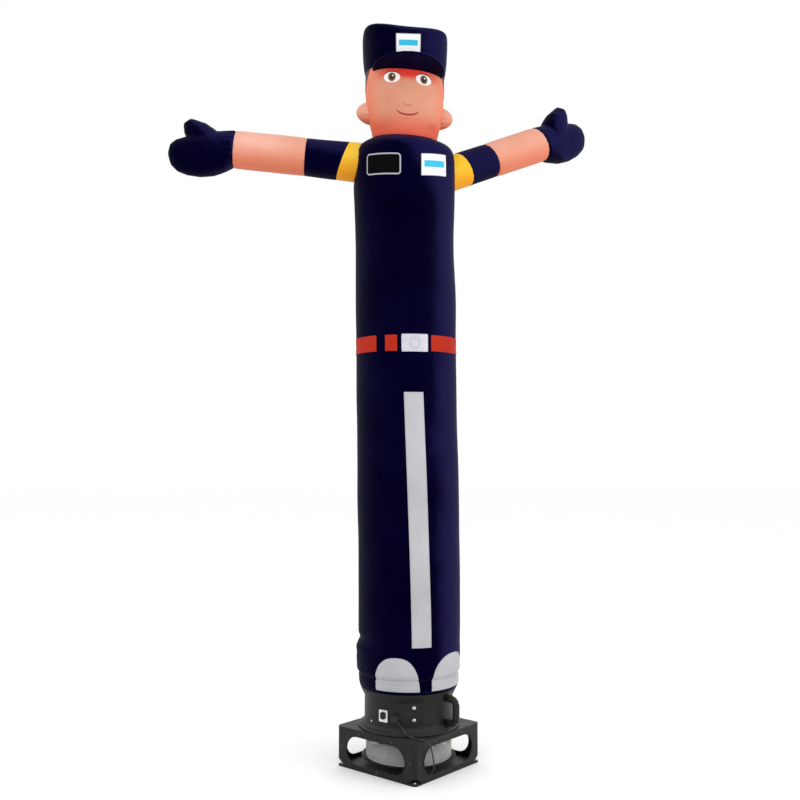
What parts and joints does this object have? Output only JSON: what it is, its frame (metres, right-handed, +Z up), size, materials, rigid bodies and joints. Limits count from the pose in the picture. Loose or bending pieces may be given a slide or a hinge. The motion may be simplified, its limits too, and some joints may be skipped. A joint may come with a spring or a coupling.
{
  "type": "inflatable air dancer on a fan blower",
  "caption": "Tall inflated cloth tube man with outstretched mitten arms, cap and belt, standing on a square fan blower with side windows, a carrying handle and a mains lead.",
  "frame": {"origin": "On the floor under the middle of the blower, at the middle of the base plate's underside.", "axes": "+Z is up and the longest way. The figure faces -Y, with its outstretched arms roughly along X."},
  "size_m": [2.2069, 0.8477, 3.5796],
  "materials": {
    "navy_cloth": "ripstop nylon, navy",
    "peach_cloth": "ripstop nylon, peach",
    "yellow_cloth": "ripstop nylon, yellow",
    "red_cloth": "ripstop nylon, orange red",
    "pale_grey_cloth": "ripstop nylon, pale grey",
    "white_cloth": "printed nylon, white",
    "black_cloth": "printed nylon, black",
    "brown_cloth": "ripstop nylon, brown",
    "charcoal_plastic": "moulded polyethylene, charcoal",
    "grey_wire_mesh": "welded wire mesh, grey",
    "screw_steel": "plated steel",
    "black_rubber": "moulded rubber, black"
  },
  "bodies": {
    "root": {"base_body": "charcoal_plastic", "base_plate": "charcoal_plastic", "belt_buckle": "pale_grey_cloth", "belt_front": "red_cloth", "belt_wrap": "red_cloth", "cable_gland": "black_rubber", "cap_crown": "navy_cloth", "cap_patch": "white_cloth", "cap_visor": "navy_cloth", "chest_patch": "white_cloth", "cord_coil": "black_rubber", "cord_tail": "black_rubber", "corner_bolt_0": "screw_steel", "corner_bolt_1": "screw_steel", "corner_bolt_2": "screw_steel", "corner_bolt_3": "screw_steel", "ear_left": "peach_cloth", "ear_right": "peach_cloth", "fan_housing": "charcoal_plastic", "forearm_left": "peach_cloth", "forearm_right": "peach_cloth", "guard_ring": "charcoal_plastic", "gusset_left": "yellow_cloth", "gusset_right": "yellow_cloth", "hair_left": "brown_cloth", "hair_right": "brown_cloth", "handle": "charcoal_plastic", "head": "peach_cloth", "intake_guard": "grey_wire_mesh", "leg_stripe": "pale_grey_cloth", "leg_tube": "navy_cloth", "mitt_left": "navy_cloth", "mitt_right": "navy_cloth", "name_patch": "black_cloth", "plug": "black_rubber", "power_cord": "black_rubber", "screw_lower": "screw_steel", "screw_side": "screw_steel", "screw_upper": "screw_steel", "shoe_left": "pale_grey_cloth", "shoe_right": "pale_grey_cloth", "sleeve_left": "navy_cloth", "sleeve_right": "navy_cloth", "strain_relief": "black_rubber", "switch_plate": "screw_steel", "switch_rocker": "charcoal_plastic", "torso_tube": "navy_cloth"}
  },
  "joints": []
}
